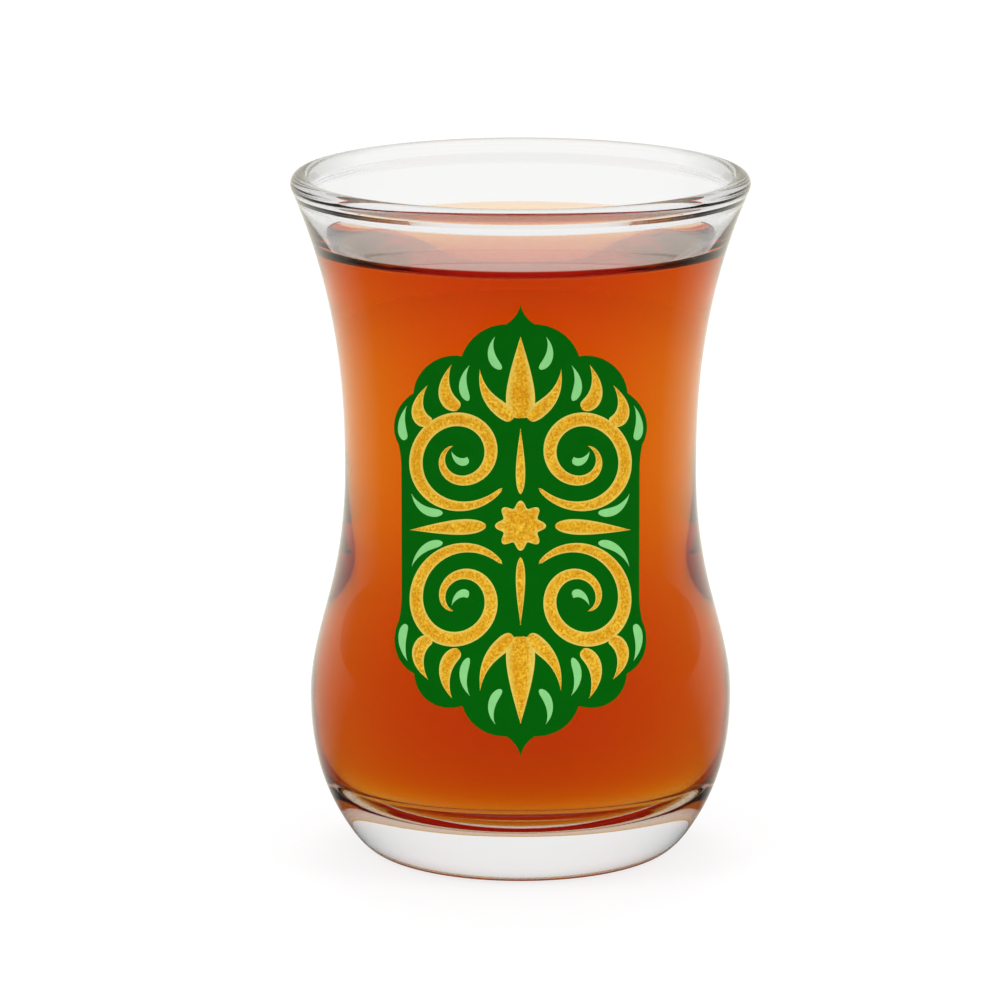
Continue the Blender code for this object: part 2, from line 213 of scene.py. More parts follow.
class GlassShape(bpy.types.PropertyGroup):
    """Sizes of the glass, from the table up"""
    height: length("Height", "From the table to the top of the lip", CAD_HIGH.z)
    foot_radius: length("Foot Radius", "Where the foot leaves the table", 18.8 * MM)
    foot_ring_width: length("Foot Ring", "Width of the flat ring that stands on the table", 2.4 * MM)
    punt_depth: length("Punt Depth", "Depth of the hollow under the foot", 0.3 * MM)
    heel_height: length("Heel Height", "Where the round heel meets the belly", 2.9 * MM)
    heel_radius: length("Heel Radius", "Outer radius at the top of the heel", 22.6 * MM)
    heel_slope: number("Heel Slope", "How fast the radius grows at the heel", 0.70)
    bulb_height: length("Belly Height", "Height of the widest place of the belly", 20.7 * MM)
    bulb_radius: length("Belly Radius", "Widest radius of the belly", 27.7 * MM)
    shoulder_height: length("Shoulder Height", "Where the belly turns into the waist", 35.0 * MM)
    shoulder_radius: length("Shoulder Radius", "Outer radius at the shoulder", 24.9 * MM)
    shoulder_slope: number("Shoulder Slope", "How fast the radius changes at the shoulder", -0.25)
    waist_height: length("Waist Height", "Height of the narrowest place", 51.3 * MM)
    waist_radius: length("Waist Radius", "Narrowest outer radius", 23.0 * MM)
    flare_power: number("Flare Power", "How late the wall flares out to the rim", 2.3)
    rim_radius: length("Rim Radius", "Outer radius of the lip", CAD_HIGH.x)
    lip_thickness: length("Lip Thickness", "Thickness of the round lip", 2.58 * MM)
    lip_swell: length("Lip Swell", "Height under the lip over which the wall swells out to it", 1.3 * MM)
    neck_wall: length("Neck Wall", "Thickness of the wall just under the lip", 1.33 * MM)
    neck_height: length("Neck Height", "Height over which the wall thins towards the lip", 24.3 * MM)
    wall: length("Wall", "Thickness of the wall of belly and waist", 3.4 * MM)
    base_thickness: length("Base Thickness", "From the table to the bottom of the inside", 7.2 * MM)
    bowl_depth: length("Bowl Depth", "Height over which the inside rounds out", 8.5 * MM)
    bowl_power: number("Bowl Power", "How square the bottom of the inside is", 2.6)

    def lip_radius(self):
        return self.lip_thickness / 2

    def flare_angle(self):
        rise = self.height - self.waist_height
        return math.atan(self.flare_power * (self.rim_radius - self.waist_radius) / rise)

    def flare_top(self):
        return self.height - self.lip_radius() * (1 + math.sin(self.flare_angle()))

    def neck_top(self):
        return self.flare_top() - self.lip_swell

    def outside(self, z):
        """Outer radius at a height above the heel."""
        if z >= self.waist_height:
            top_radius = self.rim_radius - self.lip_radius() * (1 - math.cos(self.flare_angle()))
            share = (z - self.waist_height) / (self.flare_top() - self.waist_height)
            return self.waist_radius + (top_radius - self.waist_radius) * share ** self.flare_power
        stations = (
            (self.heel_height, self.heel_radius, self.heel_slope),
            (self.bulb_height, self.bulb_radius, 0.0),
            (self.shoulder_height, self.shoulder_radius, self.shoulder_slope),
            (self.waist_height, self.waist_radius, 0.0),
        )
        for low, high in zip(stations, stations[1:]):
            if z <= high[0]:
                break
        rise = high[0] - low[0]
        t = (z - low[0]) / rise
        radius = low[1] + (high[1] - low[1]) * t * t * (3 - 2 * t)
        return radius + rise * t * (1 - t) * (low[2] * (1 - t) - high[2] * t)

    def inside(self, z):
        """Inner radius at a height above the bowl: the wall thins upwards and swells again to the lip."""
        thinning = smoothstep((z - self.neck_top() + self.neck_height) / self.neck_height)
        swelling = min(max((z - self.neck_top()) / self.lip_swell, 0.0), 1.0)
        lip_wall = self.lip_thickness / math.cos(self.flare_angle())
        wall = self.wall + (self.neck_wall - self.wall) * thinning
        return self.outside(z) - wall - (lip_wall - wall) * swelling

    def cavity(self, top):
        """Radius and height points of the inside, from the middle of its bottom up to a height."""
        bowl_top = self.base_thickness + self.bowl_depth
        points = []
        for angle in spread(0.0, math.pi / 2, BOWL_RINGS):
            z = bowl_top - self.bowl_depth * math.cos(angle) ** (2 / self.bowl_power)
            points.append((self.inside(z) * math.sin(angle) ** (2 / self.bowl_power), z))
        for z in spread(bowl_top, top, WALL_RINGS)[1:]:
            points.append((self.inside(z), z))
        return points

    def lip(self):
        """Round lip from its straight inner side over to its outer side."""
        points = []
        angle = self.flare_angle()
        low = Vector((self.inside(self.flare_top()), self.flare_top()))
        reach = self.lip_thickness * math.sin(angle)
        for share in spread(0.0, 1.0, SWELL_RINGS)[1:-1]:
            points.append(low + Vector((math.tan(angle), 1.0)) * reach * share)
        for turn in spread(math.pi - angle, -angle, LIP_RINGS):
            radius = self.rim_radius - self.lip_radius() + self.lip_radius() * math.cos(turn)
            points.append((radius, self.height - self.lip_radius() + self.lip_radius() * math.sin(turn)))
        return points

    def foot(self):
        """Heel, flat ring and hollow underside, from the heel's top to the middle."""
        top = Vector((self.heel_radius, self.heel_height))
        corner = Vector((self.heel_radius - self.heel_slope * self.heel_height, 0.0))
        edge = Vector((self.foot_radius, 0.0))
        hollow = self.foot_radius - self.foot_ring_width
        points = []
        for t in spread(0.0, 1.0, HEEL_RINGS):
            points.append(top * (1 - t) ** 2 + corner * 2 * t * (1 - t) + edge * t * t)
        for radius in spread(self.foot_radius, hollow, RING_RINGS)[1:]:
            points.append((radius, 0.0))
        for share in spread(1.0, 0.0, PUNT_RINGS)[1:]:
            points.append((hollow * share, self.punt_depth * (1 - share * share)))
        return points


class TeaFill(bpy.types.PropertyGroup):
    """Sizes of the tea in the glass"""
    fill_drop: length("Fill Drop", "From the rim down to the tea", 9.55 * MM)
    meniscus_rise: length("Meniscus Rise", "How far the tea climbs the wall", 1.41 * MM)
    meniscus_width: length("Meniscus Width", "How far from the wall the tea lies flat", 3.7 * MM)
    wetting: length("Wetting", "How far the tea bites into the wall, so no air shows between", 0.05 * MM)


class PrintLayout(bpy.types.PropertyGroup):
    """Sizes of the printed panel"""
    foot_margin: length("Foot Margin", "From the table to the panel's lower tip", 19.0 * MM)
    rim_margin: length("Rim Margin", "From the rim down to the panel's upper tip", 12.6 * MM)
    half_width: length("Half Width", "Half the width of the panel", 15.25 * MM)
    bow: length("Bow", "How far the panel's sides hang below its middle", 1.9 * MM)
    ground_lift: length("Ground Lift", "How far the green stands off the glass", 0.05 * MM)
    motif_lift: length("Motif Lift", "How far the edges of the other inks stand off the glass", 0.08 * MM)
    motif_crest: length("Motif Crest", "How far the inks rise from their edges to their middles", 0.03 * MM)
    fusing: length("Fusing", "How far the inks are fired into the glass", 0.02 * MM)
    scroll_width: length("Scroll Width", "Half width of the scrolls", 0.92 * MM)
    leaf_width: length("Leaf Width", "Half width of the gold leaves", 1.0 * MM)
    crown_width: length("Crown Width", "Half width of the crown leaves", 1.85 * MM)
    stem_width: length("Stem Width", "Half width of the stems", 0.6 * MM)
    sprig_width: length("Sprig Width", "Half width of the pale sprigs", 0.55 * MM)
    skew: number("Skew", "Below 1 a stroke is widest before its middle", 0.75)
    scroll_fullness: number("Scroll Fullness", "Below 1 the ends of the scrolls are blunter", 0.6)
    rosette_radius: length("Rosette Radius", "Mean radius of the flower at the middle", 2.8 * MM)
    rosette_lobe: length("Rosette Lobe", "How far the flower's petals swing out and in", 0.45 * MM)
    rosette_petals: IntProperty(name="Petals", description="Petals of the flower", default=8, min=3)


class Finishes(bpy.types.PropertyGroup):
    """Colours of the pieces and the studio, and how strongly light bends"""
    glass_tint: colour("Glass", "Tint of the clear glass", (0.915, 0.915, 0.91))
    # Rim Shade and Foot Shade are painted shade: the glass darkens where its lip and its foot turn away
    # from the eye, brownish at the foot
    painted_rim_shade: colour("Rim Shade", "Tint of the lip where it turns away", (0.36, 0.355, 0.345))
    painted_foot_shade: colour("Foot Shade", "Tint of the foot's edge where it turns away", (0.40, 0.27, 0.18))
    wet_tint: colour("Wetted Glass", "Tint of the glass where the tea lies against it", (1.0, 1.0, 1.0))
    tea_tint: colour("Tea", "What the tea leaves of light before its depth counts", (0.98, 0.98, 0.98))
    tea_depth: colour("Tea Depth", "Light that the tea lets through", (0.9625, 0.7400, 0.0))
    tea_strength: number("Tea Strength", "How strongly the tea takes up light, for each metre", 240.0)
    # painted shade: darkens the tea towards the bottom, for the shadowed table seen through it
    tea_low_painted_shade: colour("Tea Low Painted Shade", "What is left of that light at the bottom", (0.72, 0.60, 0.59))
    tea_surface: colour("Tea Surface", "Tint of the tea's open surface", (0.95, 0.66, 0.44))
    tea_cloud: factor("Tea Cloud", "How cloudy the open surface of the tea is", 0.25)
    tea_bend: number("Tea Bend", "How strongly the tea's open surface bends light", 1.333)
    glass_bend: number("Glass Bend", "How strongly the glass bends light", 1.5)
    wet_bend: number("Wet Bend", "How strongly light bends where the tea wets the wall", 1.11)
    bowl_bend: number("Bowl Bend", "How strongly light bends where the tea wets the bottom", 1.03)
    green: colour("Green", "Ground of the print", (0.0006, 0.100, 0.002))
    gold: colour("Gold", "Middle tone of the gold", (0.86, 0.45, 0.013))
    gold_shade: colour("Gold Shade", "Dark grains of the gold", (0.60, 0.24, 0.004))
    gold_light: colour("Gold Light", "Light grains of the gold", (0.98, 0.64, 0.045))
    # painted highlight: the gold is paler along the edges of its strokes, as if they caught the light
    gold_edge_painted_highlight: colour("Gold Edge Highlight", "Thin edges of the gold", (0.78, 0.62, 0.12))
    pale_green: colour("Pale Green", "Small leaves of the print", (0.23, 0.61, 0.21))
    floor: colour("Floor", "The table under the glass", (0.86, 0.86, 0.86))
    mirror_tint: colour("Mirrored Studio", "Tint of the studio in mirrored light", (1.0, 0.97, 0.84))


class Stage(bpy.types.PropertyGroup):
    """Camera and light"""
    camera_distance: length("Camera Distance", "From the glass to the camera along the table", 0.800)
    camera_height: length("Camera Height", "From the table to the camera", 0.22199)
    aim_height: length("Aim Height", "Height on the glass that the camera looks at", 0.045)
    focal_length: number("Focal Length", "Camera lens in millimetres", 224.68)
    shift_x: number("Shift Across", "Camera shift across", -0.0205)
    shift_y: number("Shift Up", "Camera shift up", 0.0109)
    floor_radius: length("Floor Radius", "Radius of the round table", 4.0)
    lamp_distance: length("Lamp Distance", "From the glass to each lamp", 1.2)
    lamp_size: length("Lamp Size", "Width of each soft lamp", 0.6)
    lamp_power: number("Lamp Power", "Power of each lamp in watts", 4.0)
    ambient: factor("Ambient", "Strength of the soft light from all round", 0.8)
    front_dark: factor("Front", "Brightness of the camera's side of the studio in mirrored light", 0.06)
    floor_white: number("Floor White", "Brightness of the table where it is seen", 1.05)
    floor_shadow: factor("Shadow", "How much of the shadow on the table shows", 0.25)
    glass_turns: IntProperty(name="Glass Turns", description="How often light may turn inside the glass",
                             default=16, min=4)


def work_on(piece):
    bpy.ops.object.select_all(action="DESELECT")
    piece.select_set(True)
    bpy.context.view_layer.objects.active = piece


def set_origin(piece):
    """Put the object's origin at the frame's, so that its place is in its mesh."""
    work_on(piece)
    bpy.ops.object.transform_apply(location=True, rotation=True, scale=True)


def hand_over(piece, node, slot, *finishes):
    """Give a finished piece its materials and let it stand for its node in the frame."""
    for finish in finishes:
        piece.data.materials.append(finish)
    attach(piece, BODY)
    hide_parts(node)


def turned_piece(name, profile):
    """Draw a profile from a single point, and spin it about the Z axis into a closed skin."""
    first_radius, first_height = profile[0]
    bpy.ops.object.select_all(action="DESELECT")
    bpy.ops.mesh.primitive_plane_add(size=SEED_SIZE, location=(first_radius, 0.0, first_height))
    piece = bpy.context.active_object
    piece.name = name
    piece.data.name = name
    bpy.ops.object.mode_set(mode="EDIT")
    bpy.ops.mesh.select_all(action="SELECT")
    bpy.ops.mesh.merge(type="CENTER")
    for before, here in zip(profile, profile[1:]):
        step = (here[0] - before[0], 0.0, here[1] - before[1])
        bpy.ops.mesh.extrude_region_move(TRANSFORM_OT_translate={"value": step})
    bpy.ops.mesh.select_all(action="SELECT")
    bpy.ops.mesh.spin(steps=TURN_STEPS, angle=math.tau, center=(0.0, 0.0, 0.0), axis=(0.0, 0.0, 1.0))
    bpy.ops.mesh.select_all(action="SELECT")
    bpy.ops.mesh.remove_doubles(threshold=MERGE_DISTANCE)
    bpy.ops.mesh.normals_make_consistent(inside=False)
    bpy.ops.object.mode_set(mode="OBJECT")
    set_origin(piece)
    bpy.ops.object.shade_smooth()
    return piece


def new_finish(name):
    material = bpy.data.materials.new(name)
    material.use_nodes = True
    return material, material.node_tree.nodes["Principled BSDF"]


def add_node(tree, kind, values=None, **settings):
    node = tree.nodes.new(kind)
    for key, value in settings.items():
        setattr(node, key, value)
    for key, value in (values or {}).items():
        node.inputs[key].default_value = value
    return node


def set_values(shader, values):
    for key, value in values.items():
        shader.inputs[key].default_value = value


def opaque(tint):
    return (*tint, 1.0)


def grain(tree, scale, detail, roughness=0.5):
    """Noise that is fixed to the piece, as a number from 0 to 1."""
    place = add_node(tree, "ShaderNodeTexCoord")
    noise = add_node(tree, "ShaderNodeTexNoise", {
        "Scale": scale, "Detail": detail, "Roughness": roughness})
    tree.links.new(place.outputs["Object"], noise.inputs["Vector"])
    return noise.outputs["Fac"]


def height_in(tree):
    """Height above the table of a place on the piece."""
    place = add_node(tree, "ShaderNodeTexCoord")
    split = add_node(tree, "ShaderNodeSeparateXYZ")
    tree.links.new(place.outputs["Object"], split.inputs["Vector"])
    return split.outputs["Z"]


def times(tree, first, second):
    node = add_node(tree, "ShaderNodeMath", operation="MULTIPLY")
    tree.links.new(first, node.inputs[0])
    tree.links.new(second, node.inputs[1])
    return node.outputs[0]


def remap(tree, source, low, high, to_low, to_high):
    """Number that runs from one value to another while its source runs from low to high."""
    node = add_node(tree, "ShaderNodeMapRange", {
        "From Min": low, "From Max": high, "To Min": to_low, "To Max": to_high})
    tree.links.new(source, node.inputs["Value"])
    return node.outputs["Result"]


def mix_of(tree, share, sources, sockets, node):
    """Feed a mix node with its share and two sources, each a plain value or a socket."""
    tree.links.new(share, node.inputs[0])
    for source, socket in zip(sources, sockets):
        if isinstance(source, bpy.types.NodeSocket):
            tree.links.new(source, node.inputs[socket])
        else:
            node.inputs[socket].default_value = source


def choose(tree, share, first, second):
    """Mix two numbers, each a plain number or a socket."""
    node = add_node(tree, "ShaderNodeMix")
    mix_of(tree, share, (first, second), (2, 3), node)
    return node.outputs[0]


def blend(tree, share, first, second):
    """Mix two colours, each a plain colour or a socket."""
    node = add_node(tree, "ShaderNodeMix", data_type="RGBA")
    sources = [source if isinstance(source, bpy.types.NodeSocket) else opaque(source)
               for source in (first, second)]
    mix_of(tree, share, sources, (6, 7), node)
    return node.outputs[2]


def relief(tree, shader, height, distance, strength):
    """Give a finish a fine relief."""
    node = add_node(tree, "ShaderNodeBump", {"Strength": strength, "Distance": distance})
    tree.links.new(height, node.inputs["Height"])
    tree.links.new(node.outputs["Normal"], shader.inputs["Normal"])


def painted_edge_shade(tree, shape, looks):
    """Tint of the glass, with painted shade where its lip and its foot turn away from the eye."""
    facing = add_node(tree, "ShaderNodeLayerWeight", {"Blend": 0.5}).outputs["Facing"]
    away = remap(tree, facing, *EDGE_TURNS, 0.0, 1.0)
    height = height_in(tree)
    lip_low = shape.height - LIP_ZONE * shape.lip_thickness
    lip = remap(tree, height, lip_low, lip_low + shape.lip_radius() / 2, 0.0, 1.0)
    foot = remap(tree, height, HEEL_ZONE * shape.heel_height, shape.heel_height, 1.0, 0.0)
    tint = looks.glass_tint
    # painted shade on the lip and the foot where they turn away from the eye
    for zone, shade in ((lip, looks.painted_rim_shade), (foot, looks.painted_foot_shade)):
        tint = blend(tree, times(tree, away, zone), tint, shade)
    return tint


def wavy_surface(tree, shader):
    """Slow waves of pressed glass, and faint traces of wiping."""
    wiped = remap(tree, grain(tree, WIPE_SCALE, detail=4.0), *WIPE_SHOWS, 0.0, WIPE_ROUGHNESS)
    tree.links.new(wiped, shader.inputs["Roughness"])
    relief(tree, shader, grain(tree, WAVE_SCALE, detail=1.0), WAVE_HEIGHT, WAVE_STRENGTH)


def pressed_glass():
    """Clear glass with painted shade on the edges of its lip and foot."""
    looks = bpy.context.scene.tea_glass_finishes
    material, shader = new_finish("clear_glass")
    tree = material.node_tree
    set_values(shader, {"Transmission Weight": 1.0, "IOR": looks.glass_bend})
    tint = painted_edge_shade(tree, bpy.context.scene.tea_glass_shape, looks)
    tree.links.new(tint, shader.inputs["Base Color"])
    wavy_surface(tree, shader)
    return material


def wetted_glass():
    """The glass where the tea lies against it: light bends little there, least at the bottom."""
    looks = bpy.context.scene.tea_glass_finishes
    shape = bpy.context.scene.tea_glass_shape
    material, shader = new_finish("wetted_glass")
    tree = material.node_tree
    set_values(shader, {
        "Base Color": opaque(looks.wet_tint), "Transmission Weight": 1.0, "IOR": looks.wet_bend})
    low = shape.base_thickness
    high = low + WET_ZONE * shape.bowl_depth
    bend = remap(tree, height_in(tree), low, high, looks.bowl_bend, looks.wet_bend)
    tree.links.new(bend, shader.inputs["IOR"])
    wavy_surface(tree, shader)
    return material


def steeped_tea():
    """Clear dark tea, whose colour comes from its depth, with painted shade that darkens it towards the
    bottom.
    """
    looks = bpy.context.scene.tea_glass_finishes
    shape = bpy.context.scene.tea_glass_shape
    fill = bpy.context.scene.tea_glass_fill
    material, shader = new_finish("steeped_tea")
    tree = material.node_tree
    set_values(shader, {"Roughness": 0.0})
    height = height_in(tree)
    is_open = add_node(tree, "ShaderNodeAttribute", attribute_name="open").outputs["Fac"]
    tree.links.new(choose(tree, is_open, 1.0, looks.tea_bend), shader.inputs["IOR"])
    level = shape.height - fill.fill_drop
    edge = level + CLOUDY_EDGE * fill.meniscus_rise
    cloud = remap(tree, height, level, edge, 1.0 - looks.tea_cloud, 1.0)
    tree.links.new(choose(tree, is_open, 1.0, cloud), shader.inputs["Transmission Weight"])
    # painted shade: the body of the tea darkens from the waist down to the bottom
    rise = remap(tree, height, shape.base_thickness, shape.waist_height, 0.0, 1.0)
    body = blend(tree, rise, looks.tea_low_painted_shade, looks.tea_tint)
    tree.links.new(blend(tree, is_open, body, looks.tea_surface), shader.inputs["Base Color"])
    depth = add_node(tree, "ShaderNodeVolumeAbsorption", {
        "Color": opaque(looks.tea_depth), "Density": looks.tea_strength})
    tree.links.new(depth.outputs["Volume"], tree.nodes["Material Output"].inputs["Volume"])
    return material


def fired_enamel(name, tint, shades, cells, gloss, roughness):
    """Matt enamel whose colour is a little uneven and whose skin is finely rough."""
    material, shader = new_finish(name)
    tree = material.node_tree
    set_values(shader, {"Specular IOR Level": gloss})
    dark, light = [[min(channel * shade, 1.0) for channel in tint] for shade in shades]
    tree.links.new(blend(tree, grain(tree, cells, detail=4.0), dark, light), shader.inputs["Base Color"])
    fine = grain(tree, ENAMEL_SCALE, detail=2.0)
    tree.links.new(remap(tree, fine, *ENAMEL_SHOWS, *roughness), shader.inputs["Roughness"])
    relief(tree, shader, fine, INK_RELIEF, ENAMEL_STRENGTH)
    return material


def gold_leaf():
    """Grainy gold with a painted highlight along its edges."""
    looks = bpy.context.scene.tea_glass_finishes
    material, shader = new_finish("gold_leaf")
    tree = material.node_tree
    set_values(shader, {"Metallic": 0.15, "Specular IOR Level": 0.1})
    patches = remap(tree, grain(tree, PATCH_SCALE, detail=2.0), *PATCH_SHOWS, 0.0, 1.0)
    specks = remap(tree, grain(tree, SPECK_SCALE, detail=3.0, roughness=0.7), *SPECK_SHOWS, 0.0, 1.0)
    body = blend(tree, patches, looks.gold, looks.gold_light)
    body = blend(tree, specks, looks.gold_shade, body)
    # painted highlight along the marked edges of each stroke
    edge = add_node(tree, "ShaderNodeAttribute", attribute_name="edge")
    body = blend(tree, edge.outputs["Fac"], body, looks.gold_edge_painted_highlight)
    tree.links.new(body, shader.inputs["Base Color"])
    tree.links.new(remap(tree, specks, 0.0, 1.0, *SPECK_ROUGHNESS), shader.inputs["Roughness"])
    relief(tree, shader, specks, INK_RELIEF, SPECK_STRENGTH)
    return material


class TurnGlass(bpy.types.Operator):
    """Turn the glass from its profile"""
    bl_idname = "tea_glass.turn_glass"
    bl_label = "Turn Glass"

    def execute(self, context):
        shape = context.scene.tea_glass_shape
        outside = []
        for z in spread(shape.flare_top(), shape.heel_height, WALL_RINGS)[1:-1]:
            outside.append((shape.outside(z), z))
        fill = context.scene.tea_glass_fill
        wet_top = shape.height - fill.fill_drop + fill.meniscus_rise
        dry = spread(wet_top, shape.neck_top(), NECK_RINGS)[1:]
        dry += spread(shape.neck_top(), shape.flare_top(), SWELL_RINGS)[1:]
        inside = shape.cavity(wet_top) + [(shape.inside(z), z) for z in dry]
        glass = turned_piece("turned_glass", inside + shape.lip() + outside + shape.foot())
        for face in glass.data.polygons:
            radius = face.center.to_2d().length
            if shape.base_thickness - MERGE_DISTANCE < face.center.z < wet_top:
                if radius < shape.outside(face.center.z) - shape.neck_wall / 2:
                    face.material_index = 1
        hand_over(glass, "glass_body", "clear_glass", pressed_glass(), wetted_glass())
        return {"FINISHED"}


class PourTea(bpy.types.Operator):
    """Fill the glass with tea whose edge is drawn up the wall"""
    bl_idname = "tea_glass.pour_tea"
    bl_label = "Pour Tea"

    def execute(self, context):
        shape = context.scene.tea_glass_shape
        fill = context.scene.tea_glass_fill
        level = shape.height - fill.fill_drop
        wet = shape.cavity(level + fill.meniscus_rise)
        profile = [(0.0, shape.base_thickness - fill.wetting)]
        for before, here, after in zip(wet, wet[1:], wet[2:] + wet[-1:]):
            along = Vector((after[0] - before[0], after[1] - before[1])).normalized()
            profile.append((here[0] + fill.wetting * along.y, here[1] - fill.wetting * along.x))
        edge_radius, edge_height = profile[-1]
        for share in spread(0.0, 1.0, MENISCUS_RINGS)[1:]:
            height = level + (edge_height - level) * (1 - share) ** 2
            profile.append((edge_radius - fill.meniscus_width * share, height))
        flat_radius = profile[-1][0]
        for radius in spread(flat_radius, 0.0, MENISCUS_RINGS)[1:]:
            profile.append((radius, level))
        tea = turned_piece("poured_tea", profile)
        marks = tea.data.attributes.new("open", "FLOAT", "FACE")
        for face in tea.data.polygons:
            is_open = face.center.z > level - MERGE_DISTANCE and face.normal.z > OPEN_SLOPE
            marks.data[face.index].value = 1.0 if is_open else 0.0
        hand_over(tea, "tea", "tea", steeped_tea())
        return {"FINISHED"}


def on_sheet(point):
    """Place on the flat print sheet, which stands upright in front of the glass."""
    shape = bpy.context.scene.tea_glass_shape
    layout = bpy.context.scene.tea_glass_print
    half_height = (shape.height - layout.rim_margin - layout.foot_margin) / 2
    return Vector((
        point[0] * layout.half_width / GRID_COLUMNS,
        -2 * shape.rim_radius,
        layout.foot_margin + half_height + point[1] * half_height / GRID_ROWS,
    ))


def sheet_middle():
    return on_sheet((0.0, 0.0))


def leaf_line(points):
    """Points on the sheet along a Bezier curve that is given on the grid."""
    return interpolate_bezier(*[on_sheet(point) for point in points], LEAF_RUNGS + 1)


def scroll_line():
    """Points on the sheet of a spiral from the flower out, over and in to its eye."""
    line = []
    for share in spread(0.0, 1.0, SCROLL_RUNGS):
        angle = math.radians(SCROLL_START_ANGLE + SCROLL_SWEEP * share)
        reach = SCROLL_START_REACH + (SCROLL_END_REACH - SCROLL_START_REACH) * share
        line.append(on_sheet((
            SCROLL_EYE[0] + reach * math.cos(angle),
            SCROLL_EYE[1] + reach * math.sin(angle),
        )))
    return line


def stroke_angle(along):
    """Turn of a rung, seen from the front, that sets it across the stroke's way."""
    return math.atan2(along.z, along.x) - math.pi / 2


def draw_stroke(name, line, half_width, fullness=1.0):
    """Draw a flat stroke on the sheet: a short edge is extruded along the line, turned and widened."""
    layout = bpy.context.scene.tea_glass_print
    last = len(line) - 1
    bpy.ops.object.select_all(action="DESELECT")
    bpy.ops.mesh.primitive_plane_add(size=SEED_SIZE, location=line[0], rotation=(math.pi / 2, 0.0, 0.0))
    piece = bpy.context.active_object
    piece.name = name
    piece.data.name = name
    set_origin(piece)
    bpy.ops.object.mode_set(mode="EDIT")
    bpy.ops.mesh.select_all(action="DESELECT")
    edit = bmesh.from_edit_mesh(piece.data)
    for vert in edit.verts:
        vert.select = vert.co.z > line[0].z
    edit.select_flush(True)
    bpy.ops.mesh.delete(type="VERT")
    bpy.ops.mesh.select_all(action="SELECT")
    width = SEED_SIZE / 2
    angle = 0.0
    for step in range(1, last + 1):
        move = line[step] - line[step - 1]
        bpy.ops.mesh.extrude_region_move(TRANSFORM_OT_translate={"value": move})
        along = line[min(step + 1, last)] - line[step - 1]
        turn = stroke_angle(along) - angle
        turn = (turn + math.pi) % math.tau - math.pi
        bpy.ops.transform.rotate(value=turn, orient_axis="Y", center_override=line[step])
        angle += turn
        swell = math.sin(math.pi * (step / last) ** layout.skew) if step < last else 0.0
        wanted = max(half_width * swell ** fullness, SEED_SIZE / 2)
        bpy.ops.transform.resize(value=(wanted / width,) * 3, center_override=line[step])
        width = wanted
    bpy.ops.mesh.select_all(action="SELECT")
    bpy.ops.mesh.subdivide(number_cuts=ACROSS_CUTS)
    bpy.ops.object.mode_set(mode="OBJECT")
    return piece


def mark_edges(piece):
    """Weigh the middle of an ink for its crest, and mark its edges for the gold's painted highlight."""
    mesh = piece.data
    uses = [0] * len(mesh.edges)
    for loop in mesh.loops:
        uses[loop.edge_index] += 1
    outline = set()
    for edge, count in zip(mesh.edges, uses):
        if count == 1:
            outline.update(edge.vertices)
    crest = piece.vertex_groups.new(name="crest")
    crest.add([vert.index for vert in mesh.vertices if vert.index not in outline], 1.0, "REPLACE")
    marks = mesh.attributes.new("edge", "FLOAT", "POINT")
    for vert in mesh.vertices:
        marks.data[vert.index].value = 1.0 if vert.index in outline else 0.0


def copies(piece, name, places):
    """Mirrored copies of a flat piece about the sheet's middle, each with its own mesh."""
    made = []
    for ending, across, up in places:
        work_on(piece)
        bpy.ops.object.duplicate(linked=False)
        twin = bpy.context.active_object
        twin.name = name + ending + "_ink"
        twin.data.name = twin.name
        bpy.ops.object.mode_set(mode="EDIT")
        bpy.ops.mesh.select_all(action="SELECT")
        bpy.ops.transform.resize(value=(across, 1.0, up), center_override=sheet_middle())
        bpy.ops.mesh.normals_make_consistent(inside=False)
        bpy.ops.object.mode_set(mode="OBJECT")
        made.append((twin, name + ending))
    bpy.data.objects.remove(piece, do_unlink=True)
    return made


def face_front(piece):
    """Turn the faces of a flat piece to the front of the glass."""
    work_on(piece)
    if sum(face.normal.y * face.area for face in piece.data.polygons) > 0:
        bpy.ops.object.mode_set(mode="EDIT")
        bpy.ops.mesh.select_all(action="SELECT")
        bpy.ops.mesh.flip_normals()
        bpy.ops.object.mode_set(mode="OBJECT")


def lay_on_glass(piece, lift, crest):
    """Bow a flat piece, lay it round the front of the glass and give it its thickness."""
    layout = bpy.context.scene.tea_glass_print
    for vert in piece.data.vertices:
        vert.co.z -= layout.bow * (vert.co.x / layout.half_width) ** 2
    face_front(piece)
    bpy.ops.object.modifier_add(type="SHRINKWRAP")
    wrap = piece.modifiers[-1]
    wrap.target = bpy.data.objects["turned_glass"]
    wrap.wrap_method = "PROJECT"
    wrap.use_project_y = True
    wrap.use_positive_direction = True
    wrap.use_negative_direction = False
    bpy.ops.object.modifier_apply(modifier=wrap.name)
    for group, strength in (("", lift), ("crest", crest)):
        if strength > 0:
            bpy.ops.object.modifier_add(type="DISPLACE")
            rise = piece.modifiers[-1]
            rise.direction = "NORMAL"
            rise.mid_level = 0.0
            rise.strength = strength
            rise.vertex_group = group
            bpy.ops.object.modifier_apply(modifier=rise.name)
    bpy.ops.object.modifier_add(type="SOLIDIFY")
    thick = piece.modifiers[-1]
    thick.thickness = lift + layout.fusing
    thick.offset = -1.0
    bpy.ops.object.modifier_apply(modifier=thick.name)
    bpy.ops.object.shade_smooth_by_angle(angle=EDGE_ANGLE)


def arc(start, end, bulge):
    """Points of a circular arc after its start, bulging to the left of the way to its end by a sagitta."""
    chord = end - start
    half = chord.length / 2
    radius = (half * half + bulge * bulge) / (2 * bulge)
    left = Vector((-chord.z, 0.0, chord.x)).normalized()
    centre = (start + end) / 2 + left * (bulge - radius)
    turn = -2 * math.asin(half / radius)
    spoke = start - centre
    points = []
    for angle in spread(0.0, turn, ARC_STEPS)[1:]:
        points.append(centre + Vector((
            spoke.x * math.cos(angle) - spoke.z * math.sin(angle),
            0.0,
            spoke.x * math.sin(angle) + spoke.z * math.cos(angle),
        )))
    return points


